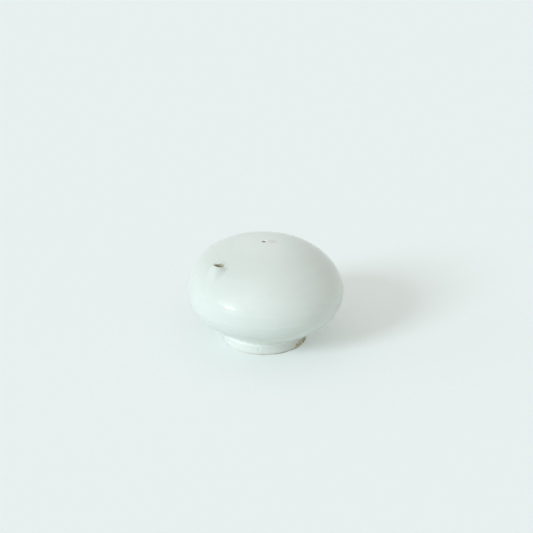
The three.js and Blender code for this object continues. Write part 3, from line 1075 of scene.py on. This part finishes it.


# %% [markdown]
# ## Glaze
# The glaze is a clear, glossy, faintly blue-green glass over white clay. It is creamy where it
# thinned over an edge. Painted shade darkens it round the mouth, on the side the window lights, and
# on the wall behind the mouth. Painted light makes it lighter on the crown, and low on the bowl
# where the floor lights it from below; on the foot the tone is set back near the plain glaze. Beside
# the air hole the clay below has stained it pinkish beige.
# Its gloss is broken only by shallow rings, a slight orange peel and a few pinholes.

# %% Places of the marks on the glaze
mouth_centre = leaned(np.array([spout_origin + LIP_RISE * lip_up]))[0]
PHOTO_TURN = 51.2
photo_angle = math.radians(PHOTO_TURN)
photo_right = np.array([math.cos(photo_angle), math.sin(photo_angle), 0])
stain_centre = crown_centre + 4.0 * photo_right
burnt_centre = mouth_centre - 2.4 * photo_right
wall_centre = mouth_centre + np.array([0, 1.5, 0.2])
foot_right = np.array([*FOOT_CENTRE, 0.0]) + FOOT_RADIUS * photo_right
print("stain at", np.round(stain_centre, 1), "burnt edge at", np.round(burnt_centre, 1))

# %% Tones of the glaze
clear, clear_varied = (206, 214, 209), (202, 210, 205)
# Painted light: the bowl low down and its haunch are lighter, as if lit from the floor below. The
# foot tone sets the foot back near the plain glaze.
bowl_bounce_light, haunch_bounce_light, on_foot = (217, 220, 213), (226, 231, 225), (208, 213, 208)
# Painted shade: darker round the mouth, on the side the window lights, and on the wall behind the
# mouth. Painted light: lighter on the crown.
mouth_side_shade, crown_light, painted_wall_shade = (195, 203, 197), (219, 228, 223), (184, 192, 183)
thin, thin_rim = (233, 234, 223), (190, 188, 166)
beige, scorched, iron = (200, 190, 172), (150, 138, 104), (150, 138, 112)
print("the clear glaze shows as", clear)

# %% Glaze finish, from the ground up
glaze = Finish("porcelain_glaze")
glaze.ground(glaze.fade(glaze.clouds(0.035, detail=3.0), 0.3, 0.7), clear, clear_varied)
# Painted light low on the bowl and on the haunch; the foot band sets the foot back near the plain
# tone.
glaze.mark(band, bowl_bounce_light, 0.8, Level=13.0, Softness=9.0, Raggedness=1.5)
glaze.mark(band, haunch_bounce_light, 0.8, Level=8.5, Softness=3.5, Raggedness=0.8)
glaze.mark(band, on_foot, 0.9, Level=4.9, Softness=0.5, Raggedness=0.2)
# Painted shade round the mouth, on the side the window lights.
glaze.mark(spot, mouth_side_shade, 0.9, Middle=mouth_centre, Reach=17.0, Softness=12.0, Raggedness=0.8)
glaze.mark(spot, thin, 0.85, Middle=mouth_centre, Reach=3.0, Softness=0.35, Raggedness=0.15)
# Painted shade on the wall behind the mouth.
glaze.mark(spot, painted_wall_shade, 0.9, Middle=wall_centre, Reach=2.1, Softness=0.5, Raggedness=0.2)
glaze.mark(spot, thin, 0.5, Middle=crown_centre, Reach=2.0, Softness=0.5, Raggedness=0.25)
# Painted light on the crown.
glaze.mark(spot, crown_light, 0.55, Middle=crown_centre, Reach=17.0, Softness=13.0, Raggedness=0.8)
stain = glaze.mark(spot, beige, 0.45, Middle=stain_centre, Reach=2.1, Softness=1.2, Raggedness=0.6)
burnt = glaze.mark(spot, scorched, 0.8, Middle=burnt_centre, Reach=0.6, Softness=0.4, Raggedness=0.2)
rim = glaze.mark(band, thin_rim, 0.5, Level=0.7, Softness=0.2, Raggedness=0.12)
glaze.mark(specks, iron, 0.55, Spacing=6.0, Radius=0.11, Share=0.16)
dress(glaze, glaze_coat)

# %% Gloss and surface of the glaze
GLAZE_IOR = 1.5
worn = glaze.fade(glaze.clouds(0.11, detail=4.0, offset=(8, 8, 8)), 0.35, 0.75)
glaze.rough(0.11, (worn, 0.06), (rim, 0.35), (burnt, 0.3), (stain, 0.08))
glaze.set("IOR", GLAZE_IOR)
marks = glaze.effect(rings, Spacing=3.6, Wander=0.8)["Height"]
peel = glaze.clouds(0.55, detail=1.0)
pinholes = glaze.effect(specks, Spacing=3.1, Radius=0.09, Share=0.22)["Mask"]
glaze.bump((marks, 0.010), (peel, 0.010), (pinholes, -0.02))
print("refraction of the glaze:", GLAZE_IOR)

# %% [markdown]
# ## Glaze in the well
# The same glaze under the base has picked up more dust and fine scratches, because it
# is never wiped. A dull grey tone in patches is enough.

# %% Finish of the well
well = Finish("well_glaze_finish")
dust = well.fade(well.clouds(0.16, detail=4.0), 0.4, 0.75)
well.ground(dust, (204, 215, 210), (192, 200, 192))
well.mark(band, (196, 184, 155), Level=1.4, Softness=0.4, Raggedness=0.3)
dots = well.mark(specks, (146, 132, 104), 0.6, Spacing=2.6, Radius=0.12, Share=0.3)
well.rough(0.14, (dust, 0.16))
well.set("IOR", GLAZE_IOR)
well.bump((well.clouds(0.6), 0.012), (dots, -0.03))
dress(well, well_glaze)

# %% [markdown]
# ## Bare clay of the foot
# Bare porcelain comes out of the kiln cream. On the side where the grit stuck it has flashed olive
# brown, and there its lowest edge is darker too.

# %% Finish of the bare foot
foot = Finish("bare_foot_clay")
clay = foot.effect(grain, Grain_Size=0.45)
foot.ground(clay["Tone"], (212, 211, 195), (226, 226, 214))
fired_side = foot.effect(spot, Middle=foot_right, Reach=31.0, Softness=11.0, Raggedness=1.5)["Mask"]
flash = foot.fade(foot.clouds(0.22, detail=3.0), 0.3, 0.6)
foot.lay(foot.times(flash, fired_side), (150, 144, 112))
contact = foot.effect(band, Level=0.14, Softness=0.14, Raggedness=0.1)["Mask"]
foot.lay(foot.times(contact, fired_side), (132, 124, 96), 0.6)
dots = foot.mark(specks, (128, 116, 86), 0.5, Spacing=0.9, Radius=0.12, Share=0.25)
foot.rough(0.72, (clay["Tone"], 0.15))
foot.bump((clay["Height"], 0.12), (dots, -0.05))
dress(foot, foot_ring)

# %% [markdown]
# ## Clay of the spout
# The bore is raw clay. It is cream grey, darker further down with painted shade in the depth of the
# bore, and scorched under the burnt edge of the glaze.

# %% Finish of the spout's clay
bore = Finish("spout_clay_finish")
clay = bore.effect(grain, Grain_Size=0.5)
bore.ground(clay["Tone"], (188, 185, 160), (206, 204, 182))
# Painted shade: the clay is darker further down the bore.
bore_shade_centre = mouth_centre - 4.5 * lip_up
bore.mark(spot, (172, 168, 142), Middle=bore_shade_centre, Reach=3.6, Softness=1.2, Raggedness=0.4)
bore.mark(spot, (134, 118, 86), 0.8, Middle=burnt_centre, Reach=1.3, Softness=0.6, Raggedness=0.4)
bore.rough(0.6, (clay["Tone"], 0.2))
bore.bump((clay["Height"], 0.15))
dress(bore, pour_spout)

# %% [markdown]
# ## Kiln sand
# The fused sand runs from pale ochre to dark brown, and is glassier where a grain melted
# into the glaze.

# %% Finish of the sand
crust = Finish("kiln_sand_finish")
sand = crust.effect(grain, Grain_Size=0.6)
patches = crust.fade(crust.clouds(0.8, detail=3.0), 0.38, 0.62)
crust.ground(patches, (200, 188, 150), (160, 132, 82))
crust.lay(sand["Tone"], (204, 196, 166), 0.6)
crust.mark(specks, (104, 80, 48), 0.8, Spacing=0.8, Radius=0.22, Share=0.3)
crust.rough(0.5, (patches, 0.3))
crust.bump((sand["Height"], 0.2))
dress(crust, kiln_grit)

# %% [markdown]
# ## Clay and slip inside
# The bowl, the dome and the slip that joins them lie under the glaze and inside the pot.
# They keep their solids, and show the thrower's rings and the clay's own grain to anyone who looks
# in or takes the pot apart. Just under the air hole the clay is painted a greyer tone, for the shade
# in the hole.

# %% Finish of the thrown halves
body = Finish("fired_porcelain_clay")
clay = body.effect(grain, Grain_Size=0.7)
body.ground(clay["Tone"], (220, 220, 211), (231, 231, 223))
body.lay(body.fade(body.clouds(0.06, detail=3.0), 0.45, 0.7), (200, 196, 178), 0.35)
under_hole = crown_centre - [0, 0, 1.6]
# Painted shade: a greyer tone just under the air hole.
body.mark(spot, (214, 219, 214), Middle=under_hole, Reach=2.0, Softness=0.5, Raggedness=0.2)
body.rough(0.72, (clay["Tone"], 0.12))
thrown = body.effect(rings, Spacing=3.2, Wander=0.7)["Height"]
body.bump((thrown, 0.15), (clay["Height"], 0.06))
dress(body, frame["nodes"]["lower_bowl"], frame["nodes"]["upper_dome"])

# %% Finish of the luting slip
slip = Finish("luting_slip_finish")
clay = slip.effect(grain, Grain_Size=0.35)
slip.ground(clay["Tone"], (214, 206, 184), (228, 221, 203))
smears = slip.fade(slip.clouds(0.3, detail=3.0), 0.4, 0.65)
slip.lay(smears, (196, 184, 156), 0.4)
slip.rough(0.82, (smears, 0.1))
slip.bump((smears, 0.1), (clay["Height"], 0.08))
dress(slip, *(frame["nodes"][node] for node in ("seam_slip", "foot_slip", "spout_slip")))


# %% [markdown]
# ## Floor
# A plain pale floor keeps the soft shadow. It is large enough that no view of the pot
# reaches its edge. A quarter of what is seen of it is its own plain brightness, as on a
# backlit sheet, so the shade close to the foot doesn't turn too deep.

# %% What only the eye sees
PAPER_TONE = (232, 240, 239)


def looked_at(tree):
    """1 for what the camera sees straight on, through glass or in a gloss, and else 0."""
    path = tree.put("ShaderNodeLightPath")
    rays = [path.outputs[f"Is {kind} Ray"] for kind in ("Camera", "Transmission", "Glossy")]
    return tree.maths("MAXIMUM", *rays)


def blend_shaders(tree, share, under, over, output):
    """Joins two shaders to a tree's output, by the share of the second."""
    node = tree.put("ShaderNodeMixShader")
    for source, target in zip((share, under, over), node.inputs):
        tree.wire(source, target)
    tree.wire(node.outputs[0], tree.tree.nodes[output].inputs["Surface"])


# %% Floor and its finish
FLOOR_HALF = 4000.0
FLOOR_BRIGHTNESS = 0.25
corner_signs = ((-1, -1), (1, -1), (1, 1), (-1, 1))
corners = np.array([[x * FLOOR_HALF, y * FLOOR_HALF, 0] for x, y in corner_signs])
floor = mesh_object("pale_floor", corners, [(0, 1, 2, 3)])
paper = Finish("pale_floor_finish")
paper.ground(paper.fade(paper.clouds(0.004), 0.3, 0.7), (231, 240, 238), PAPER_TONE)
paper.set("Roughness", 0.9)
paper.set("Specular IOR Level", 0.0)
bright = paper.put("ShaderNodeEmission")
bright.inputs["Color"].default_value = linear(*PAPER_TONE)
share = paper.times(looked_at(paper), FLOOR_BRIGHTNESS)
blend_shaders(paper, share, paper.shader.outputs[0], bright.outputs[0], "Material Output")
dress(paper, floor)

# %% [markdown]
# ## Light
# Most of the light comes from all round, as in a white room, and is a little warm. A broad
# soft window on the spout's side is cooler, and gives the pot its shading and its shadow.
# Two glows low on the same side shine only in the gloss of the belt. Weak light from low
# down on the left keeps the foot from sinking into shade.
# Together they light a level surface at a strength of one, so colours show as written.

# %% World
AMBIENT = 0.71
WARM_TINT = (1.035, 1.0, 0.965, 1)
COOL_TINT = (0.9, 1.0, 1.08)
world = bpy.data.worlds.new("white_room")
bpy.context.scene.world = world
world.use_nodes = True
air = Tree(world.node_tree)
shade = air.tree.nodes["Background"]
shade.inputs["Color"].default_value = WARM_TINT
shade.inputs["Strength"].default_value = AMBIENT
seen = air.put("ShaderNodeBackground")
seen.inputs["Color"].default_value = linear(*PAPER_TONE)
seen.inputs["Strength"].default_value = 1.0
blend_shaders(air, looked_at(air), shade.outputs[0], seen.outputs[0], "World Output")
print("ambient light", AMBIENT)


# %% Lamps that shine at the pot
def direction(azimuth, elevation):
    """A unit vector, from degrees round from +X and degrees above level."""
    a, e = math.radians(azimuth), math.radians(elevation)
    return Vector((math.cos(a) * math.cos(e), math.sin(a) * math.cos(e), math.sin(e)))


def lamp(name, kind, azimuth, elevation, distance=0.0, unseen=(), **settings):
    """A light that shines at the pot, and that some kinds of rays don't see."""
    light = bpy.data.lights.new(name, kind)
    for label, value in settings.items():
        setattr(light, label, value)
    holder = linked(bpy.data.objects.new(name, light))
    holder.location = distance * direction(azimuth, elevation)
    holder.rotation_euler = direction(azimuth, elevation).to_track_quat("Z", "Y").to_euler()
    for rays in unseen:
        setattr(holder, "visible_" + rays, False)
    print(name, "strength", round(light.energy, 2))


def wide_sun(name, azimuth, elevation, width, level, tint):
    """A soft, far light that gives a level surface a share of the light."""
    look = {"angle": math.radians(width), "color": tint}
    strength = math.pi * level / math.sin(math.radians(elevation))
    lamp(name, "SUN", azimuth, elevation, unseen=["glossy"], energy=strength, **look)


def glow(name, azimuth, elevation, distance, size, power):
    """An oval of light that is seen only in the gloss."""
    look = {"shape": "ELLIPSE", "size": size[0], "size_y": size[1]}
    unseen = ["camera", "diffuse"]
    lamp(name, "AREA", azimuth, elevation, distance, unseen, energy=power, **look)


# %% The window, its glows and the weak side light
SIDE_LEVEL = 0.018
KEY_LEVEL = 1 - AMBIENT - SIDE_LEVEL
wide_sun("high_window", azimuth=269.6, elevation=25.5, width=19, level=KEY_LEVEL, tint=COOL_TINT)
wide_sun("low_side", azimuth=236, elevation=10, width=35, level=SIDE_LEVEL, tint=(1, 1, 1))
glow("low_window", azimuth=269, elevation=6, distance=1.5, size=(0.34, 0.26), power=3.0)
glow("window_glow", azimuth=269, elevation=8, distance=1.6, size=(1.2, 0.9), power=2.6)

# %% [markdown]
# ## Camera
# The photograph looks down on the pot by about 25 degrees, from 64 cm away, with the
# mouth turned to the left. The pot stands a little below the middle of the frame.

# %% Camera
IMAGE_WIDTH = 533
PIXELS_PER_RADIUS = 77.345
BELT_PIXEL = (266.24, 289.18)
CAMERA_DISTANCE = 640.0
CAMERA_ELEVATION = 25.324
focal_pixels = PIXELS_PER_RADIUS * CAMERA_DISTANCE / BODY_RADIUS
cam = bpy.data.cameras.new("photo_camera")
cam.sensor_width = 36
cam.lens = focal_pixels / IMAGE_WIDTH * cam.sensor_width
cam.clip_start = 0.01
camera = linked(bpy.data.objects.new("photo_camera", cam))
back = direction(PHOTO_TURN - 90, CAMERA_ELEVATION)
camera.location = Vector((0, 0, BELT_HEIGHT * MM)) + CAMERA_DISTANCE * MM * back
down = math.atan((BELT_PIXEL[1] - IMAGE_WIDTH / 2) / focal_pixels)
left = math.atan((IMAGE_WIDTH / 2 - BELT_PIXEL[0]) / focal_pixels)
tilt = math.radians(90 - CAMERA_ELEVATION) + down
camera.rotation_euler = (tilt, 0, photo_angle - left)
bpy.context.scene.camera = camera
bpy.context.scene.view_settings.view_transform = "Standard"
print("lens", round(cam.lens, 1), "mm")
